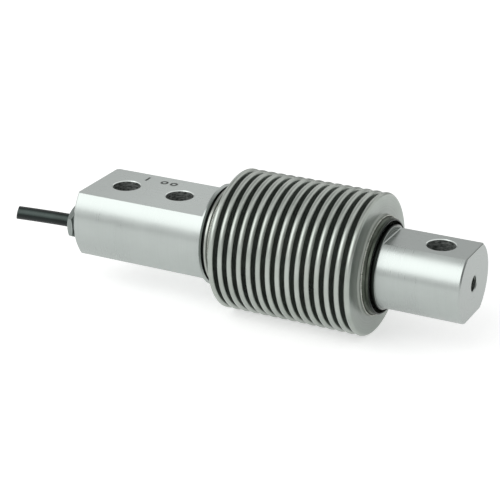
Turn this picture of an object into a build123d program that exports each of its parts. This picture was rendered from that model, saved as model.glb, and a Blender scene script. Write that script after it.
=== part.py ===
from build123d import *
import math
import os

# Bending beam load cell, sealed by a metal bellows welded round its sensing section.
# Origin midway between the two mounting holes, on the underside mounting face.
# +X runs along the beam to the load end, and +Z is up.
# All sizes are in millimetres.

# Beam ends
beam_thickness = 19.2
mount_flat_depth = 5.4
load_flat_depth = 2.1
mount_end_length = 42.75
mount_end_chamfer = 0.6
shoulder_chamfer = 0.45
load_end_chamfer = 0.4
flat_runout_radius = 0.3
mount_lip = 0.9

# Bolt holes
bolt_hole_diameter = 8.2
bolt_hole_chamfer = 0.25
mount_hole_edge = 10.0
mount_hole_spacing = 18.0
load_hole_reach = 82.0
load_hole_edge = 10.0

# Centre hole in the load end face
centre_hole_diameter = 4.4
centre_hole_depth = 5.0
centre_sink_diameter = 4.9
centre_sink_angle = 90.0
drill_point_angle = 118.0

# Journals that the weld rings sit on
mount_journal_step = 2.4
mount_journal_length = 4.2
load_journal_step = 0.5
load_journal_reach = 7.0
load_journal_chamfer = 0.3
fit_gap = 0.05

# Sensing section, between the journals
sense_step = 0.2
sense_top_step = 1.6
sense_side_stand_off = 2.2
sense_margin = 3.0
sense_corner_radius = 1.5
web_thickness = 2.0
dumbbell_hole_distance = 20.0
dumbbell_slot_height = 5.0

# Bellows
convolutions = 15
convolution_pitch = 2.99
convolution_height = 6.2
bellows_wall = 0.25
cuff_step = 0.45
mount_cuff_length = 2.27
load_cuff_length = 0.28

# Weld ring at the mount end
weld_groove_width = 0.85
weld_groove_depth = 1.4
ring_band_width = 1.0
ring_band_step = 0.2
ring_band_chamfer = 0.2
cuff_groove_width = 0.35

# Weld ring at the load end
collar_step = 0.4
collar_rim_step = 0.25
collar_rim_width = 0.9
collar_length = 2.1
collar_gap = 1.0
collar_gap_depth = 3.2
collar_flange_length = 2.6
collar_edge_radius = 0.25

# Cable entry
gland_side_distance = 6.6
gland_drop = 1.25
gland_head_step = 1.45
gland_head_height = 1.8
gland_head_gap = 1.35
gland_head_chamfer = 0.4
gland_chamfer_angle = 30.0
gland_turn = 32.0
gland_seal_wall = 1.2
gland_shank_depth = 3.0
gland_bore_depth = 7.0
gland_washer_thickness = 0.5

# Cable
cable_diameter = 4.0
cable_clearance = 0.15
jacket_wall = 0.7
shield_wall = 0.15
layer_gap = 0.04
core_diameter = 0.8
core_spacing = 0.9
conductor_diameter = 0.45
jacket_inset = 8.5
channel_clearance = 0.2
potting_length = 3.0
potting_inset = 3.0

# The stub's route outside, from the mount end face: reach out from it, and droop
stub_route = [(1.4, 0.0), (12.4, 0.25), (23.3, 0.85)]

# Strain gauges and their leads
gauge_length = 6.0
gauge_width = 5.0
gauge_thickness = 0.15
lead_diameter = 0.25
lead_pitch = 1.0
lead_tab_inset = 0.8
lead_clearance = 0.05
lead_bend = 0.6

# Terminal board
board_length = 11.0
board_height = 11.0
board_thickness = 0.8
joint_diameter = 1.0
joint_height = 0.5
lead_pad_inner = 1.8
lead_pad_pitch = 1.2
lead_pad_inset = 0.9
core_pad_pitch = 2.4
core_pad_inset = 1.1
core_pad_overlap = 0.3
core_strip_gap = 0.3
core_straight_end = 2.0
core_run_out = 1.5
resistor_length = 2.0
resistor_width = 1.25
resistor_thickness = 0.5
resistor_pitch = 2.4

# How far a cutter runs past what it cuts
overrun = 1.0

# Diameters that follow from the sizes above
mount_diameter = beam_thickness + 2 * mount_flat_depth
load_diameter = beam_thickness + 2 * load_flat_depth
mount_journal_diameter = mount_diameter - 2 * mount_journal_step
load_journal_diameter = load_diameter + 2 * load_journal_step
ring_band_diameter = mount_diameter - 2 * ring_band_step
weld_groove_diameter = ring_band_diameter - 2 * weld_groove_depth
root_diameter = ring_band_diameter - 2 * cuff_step
crest_diameter = root_diameter + 2 * convolution_height
collar_diameter = root_diameter - 2 * collar_step
collar_rim_diameter = collar_diameter - 2 * collar_rim_step
sense_diameter = load_journal_diameter - 2 * sense_step
sense_height = beam_thickness - 2 * sense_top_step
dumbbell_hole_diameter = sense_height - 2 * web_thickness
gland_shank_diameter = cable_diameter + 2 * gland_seal_wall
gland_across_flats = gland_shank_diameter + 2 * gland_head_step

# Places along and across the beam that follow from the sizes above
axis_z = beam_thickness / 2
mount_face_x = -(mount_hole_edge + mount_hole_spacing / 2)
load_hole_x = mount_hole_spacing / 2 + load_hole_reach
load_face_x = load_hole_x + load_hole_edge
shoulder_x = mount_face_x + mount_end_length
mount_journal_end_x = shoulder_x + mount_journal_length
band_x = shoulder_x + weld_groove_width
band_end_x = band_x + ring_band_width
bellows_x = band_end_x + cuff_groove_width
first_root_x = bellows_x + mount_cuff_length
last_root_x = first_root_x + convolutions * convolution_pitch
bellows_end_x = last_root_x + load_cuff_length
collar_end_x = bellows_end_x + collar_length
gap_floor_x = collar_end_x - collar_gap_depth
flange_x = gap_floor_x - collar_flange_length
load_journal_end_x = collar_end_x + collar_gap
load_journal_x = load_journal_end_x - load_journal_reach
cuff_bore_diameter = root_diameter - 2 * bellows_wall
spigot_diameter = cuff_bore_diameter - 2 * fit_gap
gland_y = gland_side_distance - mount_diameter / 2
gland_z = axis_z - gland_drop
sense_start_x = mount_journal_end_x + sense_margin
sense_end_x = load_journal_x - sense_margin
sense_middle_x = (sense_start_x + sense_end_x) / 2
sense_top_z = axis_z + sense_height / 2
side_y = gland_y + sense_side_stand_off
board_face_y = side_y - board_thickness
board_x = sense_middle_x - board_length / 2
core_bundle_diameter = math.sqrt(2) * core_spacing + core_diameter
channel_diameter = core_bundle_diameter + 2 * channel_clearance


def turned(outline):
    """A solid turned about the beam's axis, from (x, radius) points."""
    face = make_face(Polyline(*outline, close=True))
    return Pos(0, 0, axis_z) * revolve(face, Axis.X)


def rod_x(x_start, x_end, y, z, diameter):
    """A round bar along X between two places."""
    length = x_end - x_start
    return Pos((x_start + x_end) / 2, y, z) * Rot(0, 90, 0) * Cylinder(diameter / 2, length)


def flat_cutter(x_open, x_wall, depth_z, reach):
    """What a cutter takes off above a flat at depth_z, with a rounded run-out at x_wall."""
    side = math.copysign(1, x_wall - x_open)
    radius = flat_runout_radius
    x_bend = x_wall - side * radius
    outline = [
        Line((x_open, depth_z), (x_bend, depth_z)),
        RadiusArc((x_bend, depth_z), (x_wall, depth_z + radius), -side * radius),
        Line((x_wall, depth_z + radius), (x_wall, depth_z + reach)),
        Line((x_wall, depth_z + reach), (x_open, depth_z + reach)),
        Line((x_open, depth_z + reach), (x_open, depth_z)),
    ]
    face = Plane.XZ * make_face(outline)
    return extrude(face, mount_diameter, both=True)


def bolt_hole(x):
    """A through hole with a small chamfer at both faces."""
    radius = bolt_hole_diameter / 2
    chamfer_top = radius + bolt_hole_chamfer
    half = beam_thickness / 2
    outline = [
        (0, -half - overrun),
        (chamfer_top + overrun, -half - overrun),
        (chamfer_top, -half),
        (radius, -half + bolt_hole_chamfer),
        (radius, half - bolt_hole_chamfer),
        (chamfer_top, half),
        (chamfer_top + overrun, half + overrun),
        (0, half + overrun),
    ]
    face = Plane.XZ * make_face(Polyline(*outline, close=True))
    return Pos(x, 0, axis_z) * revolve(face, Axis.Z)


def centre_hole():
    """The turning centre in the load end face: a countersunk blind hole."""
    sink_depth = (centre_sink_diameter - centre_hole_diameter) / 2
    sink_depth /= math.tan(math.radians(centre_sink_angle / 2))
    point_depth = centre_hole_diameter / 2 / math.tan(math.radians(drill_point_angle / 2))
    outline = [
        (load_face_x + overrun, 0),
        (load_face_x + overrun, centre_sink_diameter / 2),
        (load_face_x, centre_sink_diameter / 2),
        (load_face_x - sink_depth, centre_hole_diameter / 2),
        (load_face_x - centre_hole_depth + point_depth, centre_hole_diameter / 2),
        (load_face_x - centre_hole_depth, 0),
    ]
    return turned(outline)


def make_beam_body():
    mount_r = mount_diameter / 2
    load_r = load_diameter / 2
    journal_r = load_journal_diameter / 2
    outline = [
        (mount_face_x, 0),
        (mount_face_x, mount_r - mount_end_chamfer),
        (mount_face_x + mount_end_chamfer, mount_r),
        (shoulder_x - shoulder_chamfer, mount_r),
        (shoulder_x, mount_r - shoulder_chamfer),
        (shoulder_x, mount_journal_diameter / 2),
        (mount_journal_end_x, mount_journal_diameter / 2),
        (mount_journal_end_x, sense_diameter / 2),
        (load_journal_x, sense_diameter / 2),
        (load_journal_x, journal_r),
        (load_journal_end_x - load_journal_chamfer, journal_r),
        (load_journal_end_x, journal_r - load_journal_chamfer),
        (load_journal_end_x, load_r),
        (load_face_x - load_end_chamfer, load_r),
        (load_face_x, load_r - load_end_chamfer),
        (load_face_x, 0),
    ]
    body = turned(outline)

    # Flats of both ends, above and below
    beam_middle = Plane.XY.offset(axis_z)
    mount_cut = flat_cutter(mount_face_x - overrun, shoulder_x - mount_lip, beam_thickness, mount_diameter)
    load_cut = flat_cutter(load_face_x + overrun, load_journal_end_x, beam_thickness, mount_diameter)
    for cut in (mount_cut, load_cut):
        body -= cut
        body -= mirror(cut, beam_middle)

    # Sensing section, milled to a bar with rounded ends
    window_length = sense_end_x - sense_start_x
    window = Rectangle(window_length, mount_diameter)
    bar_top = extrude(window, mount_diameter)
    bar_top = fillet(bar_top.edges().group_by(Axis.Z)[0].filter_by(Axis.Y), sense_corner_radius)
    bar_top = Pos(sense_middle_x, 0, sense_top_z) * bar_top
    bar_side = extrude(window, mount_diameter)
    bar_side = fillet(bar_side.edges().group_by(Axis.Z)[0].filter_by(Axis.Y), sense_corner_radius)
    bar_side = Pos(sense_middle_x, side_y, axis_z) * Rot(90, 0, 0) * bar_side
    body -= bar_top
    body -= mirror(bar_top, beam_middle)
    body -= bar_side
    body -= mirror(bar_side, Plane.XZ)

    # Dumbbell cut-out that leaves the four thin webs
    for side in (-1, 1):
        x = sense_middle_x + side * dumbbell_hole_distance / 2
        body -= Pos(x, 0, axis_z) * Rot(90, 0, 0) * Cylinder(dumbbell_hole_diameter / 2, mount_diameter)
    slot = Box(dumbbell_hole_distance, mount_diameter, dumbbell_slot_height)
    body -= Pos(sense_middle_x, 0, axis_z) * slot

    # Bolt holes and centre hole
    for x in (-mount_hole_spacing / 2, mount_hole_spacing / 2, load_hole_x):
        body -= bolt_hole(x)
    body -= centre_hole()

    # Cable entry: gland bore, seat for the jacket's end, then the wire channel
    bore_floor_x = mount_face_x + gland_bore_depth
    jacket_seat_x = mount_face_x + jacket_inset + 2 * cable_clearance
    bore_diameter = gland_shank_diameter + 2 * fit_gap
    body -= rod_x(mount_face_x - overrun, bore_floor_x, gland_y, gland_z, bore_diameter)
    body -= rod_x(mount_face_x, jacket_seat_x, gland_y, gland_z, cable_diameter + 2 * cable_clearance)
    body -= rod_x(mount_face_x, sense_start_x + sense_corner_radius, gland_y, gland_z, channel_diameter)
    return body


def bellows_surface(offset):
    """One surface of the bellows wall in (x, radius), at offset from the wall's middle."""
    bend = convolution_pitch / 4
    root_level = root_diameter / 2 - bellows_wall / 2 + bend
    crest_level = crest_diameter / 2 - bellows_wall / 2 - bend
    cuff_level = root_diameter / 2 - bellows_wall / 2 + offset
    root_bend = bend - offset
    crest_bend = bend + offset
    edges = [Line((bellows_x, cuff_level), (first_root_x, cuff_level))]
    for index in range(convolutions):
        start = first_root_x + index * convolution_pitch
        crest = start + convolution_pitch / 2
        end = start + convolution_pitch
        rise_x = start + root_bend
        fall_x = end - root_bend
        edges += [
            CenterArc((start, root_level), root_bend, -90, 90),
            Line((rise_x, root_level), (rise_x, crest_level)),
            CenterArc((crest, crest_level), crest_bend, 0, 180),
            Line((fall_x, crest_level), (fall_x, root_level)),
            CenterArc((end, root_level), root_bend, 180, 90),
        ]
    edges.append(Line((last_root_x, cuff_level), (bellows_end_x, cuff_level)))
    return edges, cuff_level


def make_bellows():
    outer, outer_level = bellows_surface(bellows_wall / 2)
    inner, inner_level = bellows_surface(-bellows_wall / 2)
    ends = [
        Line((bellows_x, inner_level), (bellows_x, outer_level)),
        Line((bellows_end_x, inner_level), (bellows_end_x, outer_level)),
    ]
    face = make_face(outer + inner + ends)
    return Pos(0, 0, axis_z) * revolve(face, Axis.X)


def make_mount_weld_ring():
    bore_r = mount_journal_diameter / 2 + fit_gap
    band_r = ring_band_diameter / 2
    outline = [
        (shoulder_x, bore_r),
        (shoulder_x, weld_groove_diameter / 2),
        (band_x, weld_groove_diameter / 2),
        (band_x, band_r - ring_band_chamfer),
        (band_x + ring_band_chamfer, band_r),
        (band_end_x - ring_band_chamfer, band_r),
        (band_end_x, band_r - ring_band_chamfer),
        (band_end_x, spigot_diameter / 2),
        (mount_journal_end_x, spigot_diameter / 2),
        (mount_journal_end_x, bore_r),
    ]
    return turned(outline)


def make_load_weld_ring():
    bore_r = load_journal_diameter / 2 + fit_gap
    gap_r = load_journal_diameter / 2 + collar_gap
    rim_r = collar_rim_diameter / 2
    edge = collar_edge_radius
    rim_x = collar_end_x - collar_rim_width
    outline = [
        (flange_x, bore_r),
        (flange_x, spigot_diameter / 2),
        (bellows_end_x, spigot_diameter / 2),
        (bellows_end_x + collar_rim_width / 2, collar_diameter / 2),
        (rim_x - edge, rim_r - edge),
        (rim_x, rim_r),
        (collar_end_x - edge, rim_r),
        (collar_end_x, rim_r - edge),
        (collar_end_x, gap_r),
        (gap_floor_x, gap_r),
        (gap_floor_x, bore_r),
    ]
    return turned(outline)


def make_gland_screw():
    head_x = mount_face_x - gland_head_gap
    tip_x = head_x - gland_head_height
    shank_end_x = mount_face_x + gland_shank_depth
    corner_r = gland_across_flats / 2 / math.cos(math.pi / 6)
    hexagon = Plane.YZ.offset(tip_x) * RegularPolygon(corner_r, 6, rotation=gland_turn)
    head = extrude(hexagon, gland_head_height)
    chamfer_reach = gland_head_chamfer / math.tan(math.radians(gland_chamfer_angle))
    outline = [
        (tip_x, 0),
        (tip_x, corner_r - chamfer_reach),
        (tip_x + gland_head_chamfer, corner_r),
        (head_x - gland_head_chamfer, corner_r),
        (head_x, corner_r - chamfer_reach),
        (head_x, 0),
    ]
    envelope = revolve(make_face(Polyline(*outline, close=True)), Axis.X)
    head = Pos(0, gland_y, gland_z) * (head & envelope)
    screw = head + rod_x(head_x, shank_end_x, gland_y, gland_z, gland_shank_diameter)
    bore_diameter = cable_diameter + 2 * cable_clearance
    bore = rod_x(tip_x - overrun, shank_end_x + overrun, gland_y, gland_z, bore_diameter)
    return screw - bore


def bore_ring(depth_start, depth_end):
    """A ring in the gland bore, round the cable, between two depths from the end face."""
    x_start = mount_face_x + depth_start
    x_end = mount_face_x + depth_end
    ring = rod_x(x_start, x_end, gland_y, gland_z, gland_shank_diameter)
    hole_diameter = cable_diameter + 2 * fit_gap
    return ring - rod_x(x_start - overrun, x_end + overrun, gland_y, gland_z, hole_diameter)


def cable_points(shift_y, shift_z):
    """The cable's route inside and outside the gland, shifted sideways, from the cut end inwards."""
    points = []
    for reach, droop in reversed(stub_route):
        points.append((mount_face_x - reach, gland_y + shift_y, gland_z + shift_z - droop))
    points.append((mount_face_x + jacket_inset, gland_y + shift_y, gland_z + shift_z))
    return points


def corner_radii(points, share=0.45):
    """The largest arc that each corner's two runs allow."""
    radii = []
    for before, corner, after in zip(points, points[1:], points[2:]):
        run_in = Vector(*corner) - Vector(*before)
        run_out = Vector(*after) - Vector(*corner)
        turn = math.radians(run_in.get_angle(run_out))
        radii.append(share * min(run_in.length, run_out.length) / math.tan(turn / 2))
    return radii


def swept(points, section, radii=None):
    """A section swept along straight runs joined by tangent arcs."""
    path = FilletPolyline(*points, radius=radii or corner_radii(points))
    return sweep(path.location_at(0) * section, path)


def tube(points, outer, inner=0, radii=None):
    """A round section swept along a route: a tube, or a solid wire with no inner diameter."""
    section = Circle(outer / 2)
    if inner:
        section -= Circle(inner / 2)
    return swept(points, section, radii)


def make_cable_jacket():
    return tube(cable_points(0, 0), cable_diameter, cable_diameter - 2 * jacket_wall)


def make_cable_shield():
    outer = cable_diameter - 2 * jacket_wall - 2 * layer_gap
    return tube(cable_points(0, 0), outer, outer - 2 * shield_wall)


def core_route(column, row):
    """A core's way from the cut end to the board: where its insulation ends, and its radii."""
    shift_y = column * core_spacing / 2
    shift_z = row * core_spacing / 2
    pad_y = board_face_y - conductor_diameter / 2 - layer_gap
    pad_z = axis_z + core_pad_pitch * (row - column * row / 2)
    strip_x = board_x - core_strip_gap
    points = cable_points(shift_y, shift_z)[:-1]
    points += [
        (sense_start_x + sense_corner_radius + core_run_out, gland_y + shift_y, gland_z + shift_z),
        (strip_x - core_straight_end, pad_y, pad_z),
        (strip_x, pad_y, pad_z),
    ]
    return points, corner_radii(points)


def make_core(column, row):
    """One core's insulation, and its copper strand, which runs on to its pad."""
    points, radii = core_route(column, row)
    insulation = tube(points, core_diameter, conductor_diameter + layer_gap, radii)
    strip_x, pad_y, pad_z = points[-1]
    points[-1] = (board_x + core_pad_inset + core_pad_overlap, pad_y, pad_z)
    return insulation, tube(points, conductor_diameter, radii=radii)


def make_channel_potting():
    x_end = sense_start_x - potting_inset
    x_start = x_end - potting_length
    plug = rod_x(x_start, x_end, gland_y, gland_z, channel_diameter)
    for column in (-1, 1):
        for row in (-1, 1):
            y = gland_y + column * core_spacing / 2
            z = gland_z + row * core_spacing / 2
            plug -= rod_x(x_start - overrun, x_end + overrun, y, z, core_diameter + layer_gap)
    return plug


def mirrored(shape, up):
    """The shape, or its mirror image below the beam's middle plane."""
    return shape if up > 0 else mirror(shape, Plane.XY.offset(axis_z))


def make_gauge(along, up):
    x = sense_middle_x + along * dumbbell_hole_distance / 2
    z = sense_top_z + gauge_thickness / 2
    return mirrored(Pos(x, 0, z) * Box(gauge_length, gauge_width, gauge_thickness), up)


def lead_pads(along):
    """Where a gauge's two leads start along the beam, and where they end on the board."""
    gauge_x = sense_middle_x + along * dumbbell_hole_distance / 2
    pairs = []
    for near in (0, 1):
        start_x = gauge_x + along * (near - 0.5) * lead_pitch
        pad_x = sense_middle_x + along * (lead_pad_inner + near * lead_pad_pitch)
        pairs.append((start_x, pad_x))
    return pairs


def lead_pad_z():
    return axis_z + board_height / 2 - lead_pad_inset


def make_gauge_leads(along, up):
    """The two fine wires from a gauge's tabs over the edge and down to the board."""
    tab_y = -gauge_width / 2 + lead_tab_inset
    top_z = sense_top_z + gauge_thickness + lead_diameter / 2 + lead_clearance
    out_y = board_face_y - lead_diameter / 2 - lead_clearance
    wires = []
    for start_x, pad_x in lead_pads(along):
        points = [(start_x, tab_y, top_z), (start_x, out_y, top_z), (pad_x, out_y, lead_pad_z())]
        wires.append(mirrored(tube(points, lead_diameter, radii=[lead_bend]), up))
    return wires


def make_terminal_board():
    board = Box(board_length, board_thickness, board_height)
    return Pos(sense_middle_x, side_y - board_thickness / 2, axis_z) * board


def make_solder_joints(wires):
    """Twelve blobs on the board, each round the end of its wire."""
    places = []
    for along in (-1, 1):
        for _, pad_x in lead_pads(along):
            places.append((pad_x, lead_pad_z()))
            places.append((pad_x, 2 * axis_z - lead_pad_z()))
    for step in (-1.5, -0.5, 0.5, 1.5):
        places.append((board_x + core_pad_inset, axis_z + step * core_pad_pitch))
    joints = []
    for x, z in places:
        blob = Cone(joint_diameter / 2, joint_diameter / 4, joint_height)
        blob = Pos(x, board_face_y - joint_height / 2, z) * Rot(90, 0, 0) * blob
        for wire in wires:
            blob -= wire
        joints += blob.solids()
    return joints


def make_resistor(step):
    """A chip resistor on the board, step places above its middle."""
    chip = Box(resistor_length, resistor_thickness, resistor_width)
    return Pos(sense_middle_x, board_face_y - resistor_thickness / 2, axis_z + step * resistor_pitch) * chip


def one(shape):
    """The single solid that a shape holds."""
    solids = shape.solids()
    return solids[0] if len(solids) == 1 else Compound(solids)


def save(name, shape):
    shape = Compound(shape) if isinstance(shape, list) else one(shape)
    export_step(shape, f"parts/{name}.step")


def main():
    os.makedirs("parts", exist_ok=True)
    save("beam_body", make_beam_body())
    save("bellows", make_bellows())
    save("mount_weld_ring", make_mount_weld_ring())
    save("load_weld_ring", make_load_weld_ring())

    save("gland_screw", make_gland_screw())
    thrust_end = gland_shank_depth + gland_washer_thickness
    seal_end = gland_bore_depth - gland_washer_thickness
    save("gland_thrust_washer", bore_ring(gland_shank_depth, thrust_end))
    save("gland_seal", bore_ring(thrust_end, seal_end))
    save("gland_back_washer", bore_ring(seal_end, gland_bore_depth))

    save("cable_jacket", make_cable_jacket())
    save("cable_shield", make_cable_shield())
    save("channel_potting", make_channel_potting())
    wires = []
    cores = {"red": (1, 1), "black": (-1, 1), "green": (1, -1), "white": (-1, -1)}
    for colour, (column, row) in cores.items():
        insulation, conductor = make_core(column, row)
        wires.append(conductor)
        save(f"core_{colour}", insulation)
        save(f"conductor_{colour}", conductor)

    places = [(-1, 1), (1, 1), (-1, -1), (1, -1)]
    for number, (along, up) in enumerate(places, start=1):
        save(f"strain_gauge_{number}", make_gauge(along, up))
        leads = make_gauge_leads(along, up)
        wires += leads
        save(f"gauge_leads_{number}", leads)

    save("terminal_board", make_terminal_board())
    save("solder_joints", make_solder_joints(wires))
    save("balance_resistor", make_resistor(0))
    save("span_resistor_1", make_resistor(1))
    save("span_resistor_2", make_resistor(-1))


main()
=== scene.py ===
import math

import bmesh
import bpy
from mathutils import Matrix, Vector


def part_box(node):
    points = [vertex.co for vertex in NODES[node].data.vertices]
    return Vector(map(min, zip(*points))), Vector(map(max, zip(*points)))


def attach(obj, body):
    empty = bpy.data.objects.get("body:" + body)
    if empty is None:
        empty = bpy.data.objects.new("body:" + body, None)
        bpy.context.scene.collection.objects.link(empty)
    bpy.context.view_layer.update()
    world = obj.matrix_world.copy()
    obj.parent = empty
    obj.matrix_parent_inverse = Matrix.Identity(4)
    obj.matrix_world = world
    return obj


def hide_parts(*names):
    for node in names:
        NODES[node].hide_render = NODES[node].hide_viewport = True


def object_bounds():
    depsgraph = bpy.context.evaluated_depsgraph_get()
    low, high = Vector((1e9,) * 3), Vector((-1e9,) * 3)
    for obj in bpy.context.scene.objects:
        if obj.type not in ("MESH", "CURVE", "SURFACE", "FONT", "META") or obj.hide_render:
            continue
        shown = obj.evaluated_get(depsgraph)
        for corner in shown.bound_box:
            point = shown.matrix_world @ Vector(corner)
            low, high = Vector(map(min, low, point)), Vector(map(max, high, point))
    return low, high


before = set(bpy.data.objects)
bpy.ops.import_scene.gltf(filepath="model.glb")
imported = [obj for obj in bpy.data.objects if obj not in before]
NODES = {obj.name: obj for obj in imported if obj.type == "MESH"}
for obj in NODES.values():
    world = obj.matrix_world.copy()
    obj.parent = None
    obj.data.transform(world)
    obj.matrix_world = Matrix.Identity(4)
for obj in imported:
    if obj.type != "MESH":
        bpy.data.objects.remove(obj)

# A bending beam load cell, sealed by a metal bellows. All sizes are in metres.
# The beam's axis runs along +X, at half the beam's thickness above its mounting face.
CAD_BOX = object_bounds()

BEAM_LOW, BEAM_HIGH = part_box("beam_body")
AXIS_Z = (BEAM_LOW.z + BEAM_HIGH.z) / 2
LOAD_END_X = BEAM_HIGH.x
CREST_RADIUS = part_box("bellows")[1].y
VALLEY_RADIUS = 0.0145
MOUNT_FLAT_Z = 0.0192
LOAD_WALL_X = (0.0761, 0.0769)
BOLT_HOLES_X = (0.009, 0.091)
BOLT_HOLE_RADIUS = 0.0041
BOLT_RIM_WIDTH = 0.0003
CENTRE_HOLE_RADIUS = 0.0022

# The grooves beside the welds, darkened with painted shade: where they lie along the axis, and their
# top radius
MOUNT_GROOVE = ((0.02375, 0.0246), 0.0146)
COLLAR_GAP = ((0.0752, 0.07638), 0.01425)

# The photograph's camera
CAMERA_AZIMUTH = math.radians(26.85)
CAMERA_ELEVATION = math.radians(22.9)
CAMERA_ROLL = math.radians(0.13)
CAMERA_DISTANCE = 0.50548
CAMERA_TARGET = Vector((0.0322, 0.0, 0.00634))
CAMERA_CLIP = (0.01, 50.0)
SENSOR_WIDTH = 36.0
FOCAL_SHARE = 3.47412

# The cable's route, from the cut end to the jacket's end inside the gland
CABLE_ROUTE = [
    (-0.0423, -0.0084, 0.0075),
    (-0.0314, -0.0084, 0.0081),
    (-0.0204, -0.0084, 0.00835),
    (-0.0105, -0.0084, 0.00835),
]
CABLE_DIAMETER = 0.004
JACKET_WALL = 0.0007
SHIELD_WALL = 0.00015
LAYER_GAP = 0.00004
TUBE_SIDES = 48
CUT_SLANT = (-0.377, 0.273)
CUT_REACH = 0.0004

# Weld beads: place along the axis, radius of the ring and of the bead
WELD_BEADS = {
    "mount_weld_bead": (0.0258, 0.01425, 0.00022),
    "load_weld_bead": (0.07345, 0.01425, 0.0002),
}
BEAD_STEPS = 720
BEAD_SIDES = 10
RIPPLE_LENGTH = 0.0006
RIPPLE_SWELL = 0.16
BEAD_WANDER = 0.1
WANDER_SHARE = 3.0 / 7.0

# The thread in the centre hole
THREAD_PITCH = 0.0008
THREAD_INSET = 0.0007
THREAD_TURNS = 3
THREAD_STEPS = 48
THREAD_HALF_FLANK = 0.42
THREAD_DEPTH = 0.35 * THREAD_PITCH
THREAD_SINK = 0.00002

# Stamped marks on the mount flat, and the section of their lines: across and up, as shares
MARK_WIDTH = 0.0008
MARK_HEIGHT = 0.00004
MARK_PROFILE = ((-1.0, 0.0), (-0.75, 1.0), (-0.5, 0.25), (0.5, 0.25), (0.75, 1.0), (1.0, 0.0))
MARK_STROKE = [(-0.0062, 0.0063), (-0.0062, 0.0092)]
MARK_RINGS = [(-0.0002, 0.0073), (0.0030, 0.0073)]
MARK_RING_RADIUS = 0.0009
MARK_RING_STEPS = 32

# Colours of the surfaces. A pair runs from the paler to the darker tone.
BEAM_STEEL = ((0.418, 0.450, 0.434), (0.380, 0.409, 0.395))
GLAND_STEEL = ((0.35, 0.385, 0.37), (0.185, 0.205, 0.195))
WALL_STEEL = ((0.30, 0.32, 0.30), (0.10, 0.11, 0.10))
BORE_STEEL_AND_SHADE = ((0.34, 0.36, 0.345), (0.07, 0.08, 0.075))
RIM_PAINTED_HIGHLIGHT = (0.66, 0.70, 0.68)
EDGE_STEEL = (0.12, 0.135, 0.12)
CREST_STEEL = ((0.43, 0.46, 0.428), (0.34, 0.37, 0.338))
FLANGE_STEEL = ((0.37, 0.40, 0.375), (0.29, 0.325, 0.295))
VALLEY_OXIDE_AND_SHADE = (0.30, 0.325, 0.295)
RECESS_PAINTED_SHADE = (0.020, 0.024, 0.021)
MOUNT_RING_STEEL = ((0.42, 0.44, 0.41), (0.27, 0.285, 0.26))
LOAD_RING_STEEL = ((0.125, 0.14, 0.117), (0.048, 0.057, 0.044))
BEAD_STEEL = ((0.52, 0.54, 0.50), (0.34, 0.35, 0.31))
THREAD_PAINTED_SHADE = ((0.20, 0.215, 0.20), (0.10, 0.11, 0.10))
JACKET_BLACK = ((0.005, 0.011, 0.0098), (0.003, 0.007, 0.0062))
# The cable jacket's painted highlight
JACKET_PAINTED_HIGHLIGHT = (0.072, 0.098, 0.090)
TINNED_BRAID = ((0.55, 0.55, 0.52), (0.3, 0.3, 0.28))
COPPER = ((0.80, 0.42, 0.26), (0.62, 0.30, 0.18))
SOLDER = ((0.70, 0.70, 0.68), (0.52, 0.52, 0.50))
RUBBER = ((0.02, 0.02, 0.02), (0.012, 0.012, 0.012))
EPOXY = ((0.10, 0.08, 0.05), (0.06, 0.05, 0.03))
GAUGE_BACKING = ((0.60, 0.36, 0.10), (0.48, 0.27, 0.07))
BOARD_GREEN = ((0.03, 0.20, 0.08), (0.02, 0.14, 0.05))
CHIP_BLACK = ((0.02, 0.02, 0.022), (0.012, 0.012, 0.013))
INSULATION = {
    "red": (0.45, 0.02, 0.02),
    "black": (0.015, 0.015, 0.015),
    "green": (0.02, 0.22, 0.06),
    "white": (0.75, 0.75, 0.72),
}
INSULATION_SHADE = 0.7

# How much paler or darker the faced ends and, from one place along x to the next, the flats are; the
# flats' paler stretch is painted light.
FACED_TONE = 0.88
FLAT_TONES = [((-0.014, 0.006), 1.13), ((0.05, 0.06), 0.8)]

# Grain: how finely the noise is drawn along x, y and z, or along the radius
TURNING = (3500.0, 60.0, 60.0)
MILLING = (70.0, 2600.0, 70.0)
DRILLING = (900.0, 900.0, 2400.0)
FORMING = (5000.0, 120.0, 120.0)
RING_TURNING = (4200.0, 90.0, 90.0)
FACING = 3200.0
SPINNING = 2600.0

# The studio. Panels have a direction and distance from the camera's target, a width and a
# height, and a strength.
WORLD_LIGHT = 0.55
FLOOR_COLOUR = (0.86, 0.865, 0.86)
FLOOR_GLOW = 0.52
FLOOR_GAP = 0.00005
FLOOR_SIZE = 6.0
SOFTBOX = ((-0.36, -0.67, 0.63), 0.8, 0.9, 0.66, 1.5)
CARDS = {
    "overhead_card": ((-0.30, 0.32, 1.0), 0.6, 0.9, 0.42, 0.5),
    "horizon_card": ((-0.42, -0.90, -0.02), 1.5, 1.3, 0.28, 0.5),
    "back_card": ((-0.30, 0.95, 0.03), 1.5, 3.0, 0.60, 0.2),
    "right_card": ((0.95, -0.15, 0.32), 1.0, 1.2, 0.62, 0.32),
}


def link_object(name, data):
    thing = bpy.data.objects.new(name, data)
    bpy.context.collection.objects.link(thing)
    return thing


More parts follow.
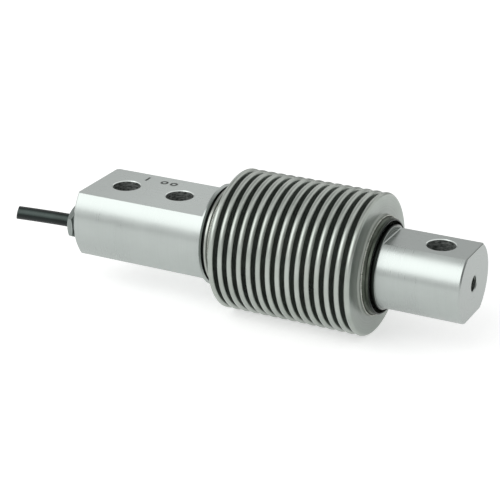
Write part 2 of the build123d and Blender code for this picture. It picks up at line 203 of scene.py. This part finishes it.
def add_camera():
    cos_e, sin_e = math.cos(CAMERA_ELEVATION), math.sin(CAMERA_ELEVATION)
    cos_a, sin_a = math.cos(CAMERA_AZIMUTH), math.sin(CAMERA_AZIMUTH)
    back = Vector((sin_a * cos_e, -cos_a * cos_e, sin_e))
    level = Vector((cos_a, sin_a, 0.0))
    raised = back.cross(level)
    right = level * math.cos(CAMERA_ROLL) + raised * math.sin(CAMERA_ROLL)
    up = back.cross(right)
    data = bpy.data.cameras.new("camera")
    data.sensor_fit = "HORIZONTAL"
    data.sensor_width = SENSOR_WIDTH
    data.lens = SENSOR_WIDTH * FOCAL_SHARE
    data.clip_start, data.clip_end = CAMERA_CLIP
    camera = link_object("camera", data)
    turn = Matrix((right, up, back)).transposed().to_4x4()
    camera.matrix_world = Matrix.Translation(CAMERA_TARGET + back * CAMERA_DISTANCE) @ turn
    bpy.context.scene.camera = camera


class Finish:
    """One material's node tree, with short calls for the nodes that the finishes share."""

    def __init__(self, name, colour, roughness, metallic=0.0, specular=0.5):
        self.material = bpy.data.materials.new(name)
        self.material.use_nodes = True
        self.tree = self.material.node_tree
        self.shader = self.tree.nodes["Principled BSDF"]
        self.shader.inputs["Base Color"].default_value = (*colour, 1.0)
        self.shader.inputs["Roughness"].default_value = roughness
        self.shader.inputs["Metallic"].default_value = metallic
        self.shader.inputs["Specular IOR Level"].default_value = specular
        self.place = self.add("ShaderNodeTexCoord").outputs["Object"]
        self.normal = self.add("ShaderNodeNewGeometry").outputs["Normal"]

    def add(self, kind, inputs=None, **settings):
        node = self.tree.nodes.new(kind)
        for name, value in settings.items():
            setattr(node, name, value)
        for key, value in (inputs or {}).items():
            if isinstance(value, bpy.types.NodeSocket):
                self.tree.links.new(value, node.inputs[key])
            else:
                node.inputs[key].default_value = value
        return node

    def link(self, value, socket):
        self.tree.links.new(value, self.shader.inputs[socket])

    def calc(self, operation, first, second=0.0):
        return self.add("ShaderNodeMath", {0: first, 1: second}, operation=operation).outputs[0]

    def both(self, first, second):
        """The share that two shares have in common."""
        return self.calc("MULTIPLY", first, second)

    def hypotenuse(self, first, second):
        squares = (self.calc("MULTIPLY", side, side) for side in (first, second))
        return self.calc("SQRT", self.calc("ADD", *squares))

    def noise(self, scale, detail=3.0, stretch=(1.0, 1.0, 1.0)):
        """Noise from 0 to 1, in object space, stretched to a grain or left even."""
        mapped = self.add("ShaderNodeMapping", {"Vector": self.place, "Scale": stretch})
        inputs = {"Vector": mapped.outputs[0], "Scale": scale, "Detail": detail}
        return self.add("ShaderNodeTexNoise", inputs).outputs["Fac"]

    def grain(self, stretch):
        return self.noise(1.0, stretch=stretch)

    def noise_along(self, value, scale):
        """Noise that depends on one number only."""
        inputs = {"W": value, "Scale": scale, "Detail": 3.0}
        return self.add("ShaderNodeTexNoise", inputs, noise_dimensions="1D").outputs["Fac"]

    def span(self, value, low, high, to_low=0.0, to_high=1.0):
        """A value mapped from one range to another and held inside it."""
        inputs = {"Value": value, 1: low, 2: high, 3: to_low, 4: to_high}
        return self.add("ShaderNodeMapRange", inputs).outputs[0]

    def contrast(self, noise, reach=0.15):
        """Noise drawn apart round its middle, so that it runs from 0 to 1."""
        return self.span(noise, 0.5 - reach, 0.5 + reach)

    def mix(self, share, first, second):
        """Numbers mixed by a share from 0 to 1."""
        inputs = {0: share, 2: first, 3: second}
        return self.add("ShaderNodeMix", inputs, data_type="FLOAT").outputs[0]

    def tint(self, share, first, second):
        """Colours mixed by a share from 0 to 1."""
        inputs = {0: share}
        for key, colour in ((6, first), (7, second)):
            inputs[key] = colour if isinstance(colour, bpy.types.NodeSocket) else (*colour, 1.0)
        return self.add("ShaderNodeMix", inputs, data_type="RGBA").outputs[2]

    def tones(self, share, pair):
        """A colour between the paler tone of a pair, at 1, and the darker one, at 0."""
        light, shade = pair
        return self.tint(share, shade, light)

    def split(self, vector):
        return self.add("ShaderNodeSeparateXYZ", {0: vector}).outputs

    def within(self, value, limits, soft):
        """1 where a value lies between two limits, with soft edges."""
        low, high = limits
        rise = self.span(value, low - soft, low + soft)
        fall = self.span(value, high - soft, high + soft, 1.0, 0.0)
        return self.both(rise, fall)

    def recess(self, groove, soft=0.00006):
        """1 inside a ring groove round the axis."""
        limits, top_radius = groove
        along = self.within(self.split(self.place)["X"], limits, soft)
        deep = self.span(self.radius(), top_radius - soft, top_radius + soft, 1.0, 0.0)
        return self.both(along, deep)

    def bolt_reach(self):
        """The distance from the upright axis of the nearest bolt hole."""
        x, y, _ = self.split(self.place)
        near, far = BOLT_HOLES_X
        pair = self.calc("ABSOLUTE", self.calc("SUBTRACT", self.calc("ABSOLUTE", x), near))
        single = self.calc("ABSOLUTE", self.calc("SUBTRACT", x, far))
        return self.hypotenuse(self.calc("MINIMUM", pair, single), y)

    def radius(self):
        """The distance from the beam's axis."""
        _, y, z = self.split(self.place)
        return self.hypotenuse(y, self.calc("SUBTRACT", z, AXIS_Z))

    def facing(self, axis, low, high):
        """1 where the surface faces along an axis, either way, and 0 elsewhere."""
        part = self.calc("ABSOLUTE", self.split(self.normal)[axis])
        return self.span(part, low, high)

    def rough(self, noise, low, high):
        self.link(self.span(noise, 0.3, 0.7, low, high), "Roughness")

    def bump(self, height, distance, strength):
        inputs = {"Height": height, "Distance": distance, "Strength": strength}
        self.link(self.add("ShaderNodeBump", inputs).outputs[0], "Normal")


def scaled(colour, factor):
    return tuple(factor * part for part in colour)


def steel_finish(name, steel, roughness=0.3):
    """Machined steel: turned sides, milled flats and faced ends, each with its own grain."""
    f = Finish(name, steel[0], roughness, metallic=1.0)
    along = f.split(f.place)["X"]
    flat = f.facing("Z", 0.985, 0.999)
    end = f.facing("X", 0.9, 0.99)
    facing = f.noise_along(f.radius(), FACING)
    grain = f.mix(end, f.mix(flat, f.grain(TURNING), f.grain(MILLING)), facing)
    clouds = f.noise(90.0, detail=4.0)
    share = f.contrast(f.mix(0.35, clouds, grain))

    def toned(factor):
        return f.tones(share, [scaled(tone, factor) for tone in steel])

    colour = f.tint(end, toned(1.0), toned(FACED_TONE))
    # The flats are painted paler from x = -14 mm on, a painted pool of light; from x = 50 mm on they
    # are darker
    for (start, stop), factor in FLAT_TONES:
        colour = f.tint(f.both(flat, f.span(along, start, stop)), colour, toned(factor))

    # The rough wall that the load end's flat runs up to, and the dark line along its far edge
    wall = f.both(end, f.within(along, LOAD_WALL_X, 0.00005))
    colour = f.tint(wall, colour, f.tones(f.contrast(facing, 0.1), WALL_STEEL))
    edge = f.both(flat, f.span(along, LOAD_END_X - 0.0004, LOAD_END_X - 0.0002))
    colour = f.tint(edge, colour, EDGE_STEEL)

    # The bolt holes' rims, with a painted highlight, and their drilled bores, darkened with painted
    # shade
    reach = f.bolt_reach()
    rim_end = BOLT_HOLE_RADIUS + BOLT_RIM_WIDTH
    rim_highlight = f.both(f.span(reach, rim_end, rim_end + 0.00002, 1.0, 0.0), f.span(flat, 0.0, 1.0, 1.0, 0.0))
    colour = f.tint(rim_highlight, colour, RIM_PAINTED_HIGHLIGHT)
    bores = f.span(reach, BOLT_HOLE_RADIUS + 0.00001, BOLT_HOLE_RADIUS + 0.00005, 1.0, 0.0)
    colour = f.tint(bores, colour, f.tones(f.contrast(f.grain(DRILLING)), BORE_STEEL_AND_SHADE))

    # Painted shade in the groove beside the mount weld and in the gap at the collar
    groove_shade = f.calc("MAXIMUM", f.recess(MOUNT_GROOVE), f.recess(COLLAR_GAP))
    f.link(f.tint(groove_shade, colour, RECESS_PAINTED_SHADE), "Base Color")
    f.link(f.mix(bores, 1.0, 0.4), "Metallic")
    f.rough(f.mix(0.5, clouds, grain), roughness - 0.06, roughness + 0.06)
    f.bump(grain, distance=0.00001, strength=0.35)
    return f.material


def bellows_finish():
    """Formed stainless sheet, paler on its crests and darker into its valleys: oxide in the valleys,
    and painted shade down the flanks.
    """
    f = Finish("formed_steel", CREST_STEEL[0], 0.3, metallic=1.0)
    depth = f.span(f.radius(), VALLEY_RADIUS, CREST_RADIUS - 0.0002)
    lines = f.grain(FORMING)
    clouds = f.noise(120.0, detail=5.0)
    steel = f.tones(f.contrast(clouds), CREST_STEEL)
    spun = f.mix(0.5, f.noise_along(f.radius(), SPINNING), clouds)
    flange = f.tones(f.contrast(spun), FLANGE_STEEL)
    end = f.facing("X", 0.93, 0.995)
    # Darker from crest to valley: oxide in the valleys, and painted shade on the flanks
    f.link(f.tint(end, f.tint(depth, VALLEY_OXIDE_AND_SHADE, steel), flange), "Base Color")
    f.link(f.mix(f.span(depth, 0.3, 0.95), 0.5, 1.0), "Metallic")
    f.rough(f.mix(0.6, clouds, lines), 0.26, 0.38)
    f.bump(f.mix(0.5, clouds, lines), distance=0.00001, strength=0.3)
    return f.material


def weld_finish(name, steel, groove):
    """Turned steel beside a weld, with heat tint, fine rings and painted shade in one groove."""
    f = Finish(name, steel[0], 0.35, metallic=1.0)
    rings = f.grain(RING_TURNING)
    patches = f.noise(260.0, detail=4.0)
    share = f.contrast(f.mix(0.5, rings, patches), 0.12)
    f.link(f.tint(f.recess(groove), f.tones(share, steel), RECESS_PAINTED_SHADE), "Base Color")
    f.rough(rings, 0.28, 0.42)
    f.bump(rings, distance=0.00003, strength=0.5)
    return f.material


def cloudy_finish(name, tones, roughness, scale, metallic, distance, strength):
    """A finish whose tone and roughness drift together in soft clouds or a fine grain."""
    f = Finish(name, tones[0], roughness, metallic=metallic)
    clouds = f.noise(scale, detail=4.0)
    f.link(f.tones(f.contrast(clouds), tones), "Base Color")
    f.rough(clouds, roughness - 0.06, roughness + 0.08)
    f.bump(clouds, distance, strength)
    return f.material


def plain_metal(name, tones, roughness, scale):
    """A small metal piece with a little cloudiness and wear."""
    return cloudy_finish(name, tones, roughness, scale, metallic=1.0, distance=0.00002, strength=0.3)


def plastic(name, tones, roughness, scale=700.0):
    """A moulded or extruded plastic with a fine grain."""
    return cloudy_finish(name, tones, roughness, scale, metallic=0.0, distance=0.00003, strength=0.4)


def cable_finish():
    """A black jacket, with a painted highlight along its upper, front side."""
    f = Finish("cable_black", JACKET_BLACK[0], 0.35, specular=0.2)
    grain = f.noise(260.0, detail=4.0)
    _, side, up = f.split(f.normal)
    lean = f.calc("ADD", f.calc("MULTIPLY", side, -0.80), f.calc("MULTIPLY", up, 0.60))
    # Painted highlight: paler where the jacket faces up and towards the front, broken by the grain
    painted_highlight = f.both(f.span(lean, 0.88, 1.0), f.span(grain, 0.2, 0.6, 0.6, 1.0))
    black = f.tones(f.contrast(grain), JACKET_BLACK)
    f.link(f.tint(painted_highlight, black, JACKET_PAINTED_HIGHLIGHT), "Base Color")
    f.rough(grain, 0.3, 0.42)
    f.bump(grain, distance=0.00003, strength=0.4)
    return f.material


def stamp_finish():
    """Steel whose lips shine and whose furrows are darkened with painted shade."""
    f = Finish("stamp_steel", BEAM_STEEL[0], 0.4, metallic=1.0)
    height = f.split(f.place)["Z"]
    share = f.span(height, MOUNT_FLAT_Z + 0.4 * MARK_HEIGHT, MOUNT_FLAT_Z + 0.9 * MARK_HEIGHT)
    f.link(f.tint(share, RECESS_PAINTED_SHADE, BEAM_STEEL[0]), "Base Color")
    return f.material


def closed_mesh(name, bm):
    bmesh.ops.recalc_face_normals(bm, faces=bm.faces)
    mesh = bpy.data.meshes.new(name)
    bm.to_mesh(mesh)
    bm.free()
    return mesh


def bridge(bm, here, there):
    """Faces between two rings with the same number of corners."""
    for corner in range(len(here)):
        after = (corner + 1) % len(here)
        bm.faces.new((here[corner], here[after], there[after], there[corner]))


def add_piece(name, mesh, material, smooth=True):
    mesh.materials.append(material)
    for face in mesh.polygons:
        face.use_smooth = smooth
    piece = link_object(name, mesh)
    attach(piece, "root")
    return piece


def line_points(points):
    """Points on the smooth line that a route gives."""
    curve = bpy.data.curves.new("route", "CURVE")
    curve.dimensions = "3D"
    curve.resolution_u = 24
    spline = curve.splines.new("NURBS")
    spline.points.add(len(points) - 1)
    for place, point in zip(spline.points, points):
        place.co = (*point, 1.0)
    spline.order_u = 3
    spline.use_endpoint_u = True
    holder = bpy.data.objects.new("route", curve)
    mesh = bpy.data.meshes.new_from_object(holder)
    found = [v.co.copy() for v in mesh.vertices]
    bpy.data.objects.remove(holder)
    bpy.data.curves.remove(curve)
    bpy.data.meshes.remove(mesh)
    return found


def tube_mesh(name, line, outer, inner):
    """A hollow tube along a line, closed at both ends, with its first end cut on a slant."""
    slant_side, slant_up = CUT_SLANT
    side = Vector((0.0, 1.0, 0.0))
    bm = bmesh.new()
    tubes = []
    for radius in (outer, inner):
        rings = []
        for index, centre in enumerate(line):
            ahead = line[min(index + 1, len(line) - 1)] - line[max(index - 1, 0)]
            ahead.normalize()
            up = side.cross(ahead).normalized()
            ring = []
            for step in range(TUBE_SIDES):
                angle = 2 * math.pi * step / TUBE_SIDES
                place = side * math.cos(angle) * radius + up * math.sin(angle) * radius
                if index == 0:
                    lean = slant_side * math.cos(angle) + slant_up * math.sin(angle) * up.z
                    place += ahead * (radius * lean - CUT_REACH)
                ring.append(bm.verts.new(centre + place))
            rings.append(ring)
        tubes.append(rings)
    outside, inside = tubes
    for rings in tubes:
        for here, there in zip(rings, rings[1:]):
            bridge(bm, here, there)
    for index in (0, -1):
        bridge(bm, outside[index], inside[index])
    return closed_mesh(name, bm)


def add_cable():
    line = line_points(CABLE_ROUTE)
    outer = CABLE_DIAMETER / 2
    mesh = tube_mesh("cable", line, outer, outer - JACKET_WALL)
    jacket = add_piece("cable", mesh, cable_finish())
    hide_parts("cable_jacket")
    outer -= JACKET_WALL + LAYER_GAP
    mesh = tube_mesh("braid", line, outer, outer - SHIELD_WALL)
    tinned = plain_metal("tinned_braid", TINNED_BRAID, 0.35, 2500.0)
    braid = add_piece("braid", mesh, tinned)
    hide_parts("cable_shield")


def bead_mesh(name, x, radius, thickness):
    """A weld bead round the beam's axis, with the ripples that a torch leaves."""
    ripples = round(2 * math.pi * radius / RIPPLE_LENGTH)
    bm = bmesh.new()
    rings = []
    for step in range(BEAD_STEPS):
        angle = 2 * math.pi * step / BEAD_STEPS
        swell = thickness * (1.0 + RIPPLE_SWELL * math.sin(ripples * angle))
        wander = BEAD_WANDER * thickness * math.sin(WANDER_SHARE * ripples * angle)
        ring = []
        for corner in range(BEAD_SIDES):
            turn = 2 * math.pi * corner / BEAD_SIDES
            along = x + swell * math.sin(turn) + wander
            reach = radius + swell * math.cos(turn)
            place = (along, reach * math.cos(angle), AXIS_Z + reach * math.sin(angle))
            ring.append(bm.verts.new(place))
        rings.append(ring)
    for here, there in zip(rings, rings[1:] + rings[:1]):
        bridge(bm, here, there)
    return closed_mesh(name, bm)


def add_weld_beads():
    bright = plain_metal("weld_bead_steel", BEAD_STEEL, 0.3, 900.0)
    for name, sizes in WELD_BEADS.items():
        add_piece(name, bead_mesh(name, *sizes), bright)


def sweep_mesh(name, sections, closed=False):
    """A solid swept through equal sections, capped at both ends or closed to a ring."""
    bm = bmesh.new()
    rings = [[bm.verts.new(place) for place in section] for section in sections]
    for here, there in zip(rings, rings[1:] + rings[:1] * closed):
        bridge(bm, here, there)
    if not closed:
        bm.faces.new(rings[0])
        bm.faces.new(rings[-1])
    return closed_mesh(name, bm)


def add_thread():
    """The tapped hole's thread ridge, a helix inside the centre hole."""
    root = CENTRE_HOLE_RADIUS + THREAD_SINK
    crest = CENTRE_HOLE_RADIUS - THREAD_DEPTH
    flank = THREAD_HALF_FLANK * THREAD_PITCH
    sections = []
    for step in range(THREAD_TURNS * THREAD_STEPS + 1):
        angle = 2 * math.pi * step / THREAD_STEPS
        x = LOAD_END_X - THREAD_INSET - THREAD_PITCH * step / THREAD_STEPS
        section = []
        for shift, radius in ((-flank, root), (0.0, crest), (flank, root)):
            y, z = radius * math.cos(angle), AXIS_Z + radius * math.sin(angle)
            section.append((x + shift, y, z))
        sections.append(section)
    # The thread's steel is coloured dark: painted shade inside the centre hole
    dark = plain_metal("thread_steel", THREAD_PAINTED_SHADE, 0.4, 1500.0)
    add_piece("centre_thread", sweep_mesh("centre_thread", sections), dark)


def mark_mesh(name, points, closed=False):
    """A stamped line through points on the mount flat: two raised lips beside a furrow."""
    sections = []
    start, end = (points[-1], points[0]) if closed else (points[0], points[-1])
    for before, point, after in zip([start] + points[:-1], points, points[1:] + [end]):
        ahead = (Vector(after) - Vector(before)).normalized()
        section = []
        for side, height in MARK_PROFILE:
            x = point[0] - ahead.y * side * MARK_WIDTH / 2
            y = point[1] + ahead.x * side * MARK_WIDTH / 2
            section.append((x, y, MOUNT_FLAT_Z + height * MARK_HEIGHT))
        sections.append(section)
    return sweep_mesh(name, sections, closed)


def ring_points(x, y, radius, steps):
    angles = [2 * math.pi * step / steps for step in range(steps)]
    return [(x + radius * math.cos(angle), y + radius * math.sin(angle)) for angle in angles]


def add_marks():
    """Plain stamped marks on the mount flat, a stroke and two small rings."""
    steel = stamp_finish()
    stroke = mark_mesh("stamp_stroke", MARK_STROKE)
    add_piece("stamp_stroke", stroke, steel, smooth=False)
    for number, (x, y) in enumerate(MARK_RINGS, 1):
        name = f"stamp_ring_{number}"
        points = ring_points(x, y, MARK_RING_RADIUS, MARK_RING_STEPS)
        ring = mark_mesh(name, points, closed=True)
        add_piece(name, ring, steel, smooth=False)


def dress(material, *nodes):
    """CAD nodes keep their shape and get a better material."""
    for node in nodes:
        for slot in NODES[node].material_slots:
            slot.link = "DATA"
            slot.material = material


def dress_nodes():
    dress(steel_finish("machined_steel", BEAM_STEEL), "beam_body")
    dress(bellows_finish(), "bellows")
    dress(weld_finish("mount_weld_steel", MOUNT_RING_STEEL, MOUNT_GROOVE), "mount_weld_ring")
    dress(weld_finish("load_weld_steel", LOAD_RING_STEEL, COLLAR_GAP), "load_weld_ring")
    gland = steel_finish("gland_steel_finish", GLAND_STEEL, 0.36)
    dress(gland, "gland_screw", "gland_thrust_washer", "gland_back_washer")
    dress(plastic("rubber", RUBBER, 0.7), "gland_seal")
    copper = plain_metal("copper_wire", COPPER, 0.3, 3000.0)
    for colour, rgb in INSULATION.items():
        tones = (rgb, scaled(rgb, INSULATION_SHADE))
        dress(plastic(f"insulation_{colour}", tones, 0.4), f"core_{colour}")
        dress(copper, f"conductor_{colour}")
    dress(plastic("epoxy", EPOXY, 0.25), "channel_potting")
    foil = plastic("gauge_backing", GAUGE_BACKING, 0.35, 1500.0)
    for number in range(1, 5):
        dress(foil, f"strain_gauge_{number}")
        dress(copper, f"gauge_leads_{number}")
    dress(plastic("board_resist", BOARD_GREEN, 0.35, 1200.0), "terminal_board")
    dress(plain_metal("solder_tin", SOLDER, 0.25, 1800.0), "solder_joints")
    chip = plastic("chip_black", CHIP_BLACK, 0.45, 2000.0)
    dress(chip, "balance_resistor", "span_resistor_1", "span_resistor_2")


def seen_ray(tree):
    """1 for the rays that show a background: the camera's, and those off metal or glass."""
    path = tree.nodes.new("ShaderNodeLightPath")
    total = path.outputs["Is Camera Ray"]
    for name in ("Is Glossy Ray", "Is Transmission Ray"):
        node = tree.nodes.new("ShaderNodeMath")
        node.operation = "MAXIMUM"
        tree.links.new(total, node.inputs[0])
        tree.links.new(path.outputs[name], node.inputs[1])
        total = node.outputs[0]
    return total


def add_world():
    """Plain light all round, and white where the background shows."""
    world = bpy.data.worlds.new("studio")
    bpy.context.scene.world = world
    world.use_nodes = True
    tree = world.node_tree
    plain = tree.nodes["Background"]
    white = tree.nodes.new("ShaderNodeBackground")
    for node, strength in ((plain, WORLD_LIGHT), (white, 1.0)):
        node.inputs[0].default_value = (1.0, 1.0, 1.0, 1.0)
        node.inputs[1].default_value = strength
    mix = tree.nodes.new("ShaderNodeMixShader")
    tree.links.new(seen_ray(tree), mix.inputs[0])
    tree.links.new(plain.outputs[0], mix.inputs[1])
    tree.links.new(white.outputs[0], mix.inputs[2])
    tree.links.new(mix.outputs[0], tree.nodes["World Output"].inputs[0])


def stage_panel(name, width, height, colour):
    """A flat rectangle of the studio, with a matt surface that can glow white."""
    w, h = width / 2, height / 2
    mesh = bpy.data.meshes.new(name)
    mesh.from_pydata([(-w, -h, 0), (w, -h, 0), (w, h, 0), (-w, h, 0)], [], [(0, 1, 2, 3)])
    material = bpy.data.materials.new(name)
    material.use_nodes = True
    shader = material.node_tree.nodes["Principled BSDF"]
    shader.inputs["Base Color"].default_value = (*colour, 1.0)
    shader.inputs["Roughness"].default_value = 0.9
    shader.inputs["Specular IOR Level"].default_value = 0.0
    shader.inputs["Emission Color"].default_value = (1.0, 1.0, 1.0, 1.0)
    mesh.materials.append(material)
    panel = link_object(name, mesh)
    return panel, material.node_tree, shader


def add_floor():
    floor, tree, shader = stage_panel("floor", FLOOR_SIZE, FLOOR_SIZE, FLOOR_COLOUR)
    floor.location.z = CAD_BOX[0][2] - FLOOR_GAP
    glow = tree.nodes.new("ShaderNodeMath")
    glow.operation = "MULTIPLY"
    glow.inputs[1].default_value = FLOOR_GLOW
    tree.links.new(seen_ray(tree), glow.inputs[0])
    tree.links.new(glow.outputs[0], shader.inputs["Emission Strength"])


def aim(thing, direction, distance):
    """Puts a lamp or card at a distance from the camera's target and turns it to face that."""
    away = Vector(direction).normalized()
    thing.location = CAMERA_TARGET + away * distance
    thing.rotation_euler = away.to_track_quat("Z", "Y").to_euler()
    thing.visible_camera = False


def add_softbox(direction, distance, width, height, radiance):
    data = bpy.data.lights.new("key_softbox", "AREA")
    data.shape = "RECTANGLE"
    data.size = width
    data.size_y = height
    data.energy = radiance * math.pi * width * height
    aim(link_object("key_softbox", data), direction, distance)


def add_card(name, direction, distance, width, height, tone):
    """A grey studio card that only reflections see."""
    card, _, shader = stage_panel(name, width, height, (0.0, 0.0, 0.0))
    shader.inputs["Emission Strength"].default_value = tone
    aim(card, direction, distance)
    card.visible_diffuse = False
    card.visible_shadow = False


add_camera()
add_cable()
add_weld_beads()
add_thread()
add_marks()
dress_nodes()
add_world()
add_floor()
add_softbox(*SOFTBOX)
for name, settings in CARDS.items():
    add_card(name, *settings)
bpy.context.scene.view_settings.view_transform = "Standard"
